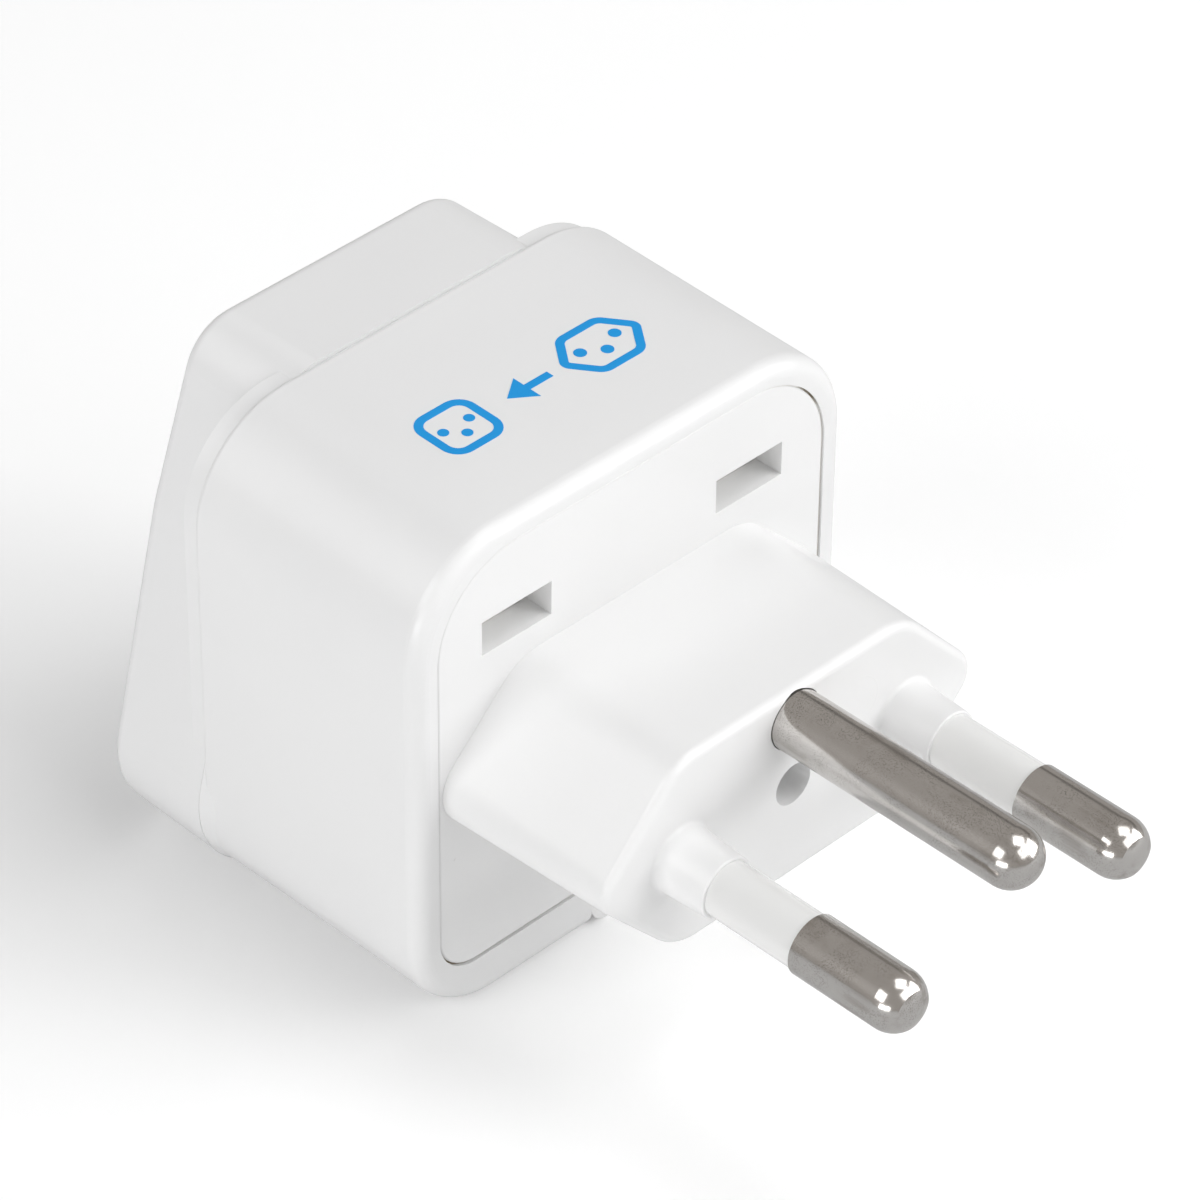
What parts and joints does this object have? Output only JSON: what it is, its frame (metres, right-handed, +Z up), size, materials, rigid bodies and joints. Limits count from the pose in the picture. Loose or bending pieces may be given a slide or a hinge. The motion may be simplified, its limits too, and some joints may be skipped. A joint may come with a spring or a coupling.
{
  "type": "travel adapter",
  "caption": "grounded travel adapter: a round-pin plug with part-sleeved pins on a hexagonal boss, a rounded white body, and a flared head with a socket for several plug types",
  "frame": {"origin": "centre of the flat plug face of the boss, midway between the axes of the live and neutral pins", "axes": "+X runs across the part from the live pin to the neutral pin, +Y runs from the plug face back to the socket, +Z is up from the live and neutral pins to the earth pin"},
  "size_m": [0.037, 0.0595, 0.0355],
  "materials": {
    "housing_plastic": "glossy injection-moulded white plastic",
    "head_plastic": "glossy injection-moulded white plastic",
    "insert_plastic": "glossy injection-moulded white plastic",
    "carrier_plastic": "matt moulded heat-resistant plastic",
    "sleeve_plastic": "smooth insulating sleeve plastic",
    "nickel_plate": "nickel-plated brass, polished by drawing",
    "contact_brass": "stamped spring brass",
    "screw_steel": "zinc-plated steel"
  },
  "bodies": {
    "root": {"body_screws": "screw_steel", "clamp_screws": "screw_steel", "contact_carrier": "carrier_plastic", "earth_contact": "contact_brass", "earth_pin": "nickel_plate", "earth_rivet": "contact_brass", "earth_strap": "contact_brass", "live_contact": "contact_brass", "live_pin": "nickel_plate", "live_rivet": "contact_brass", "live_sleeve": "sleeve_plastic", "live_strap": "contact_brass", "main_housing": "housing_plastic", "neutral_contact": "contact_brass", "neutral_pin": "nickel_plate", "neutral_rivet": "contact_brass", "neutral_sleeve": "sleeve_plastic", "neutral_strap": "contact_brass", "pin_clamp_plate": "carrier_plastic", "plug_insert": "insert_plastic", "socket_head": "head_plastic"}
  },
  "joints": []
}
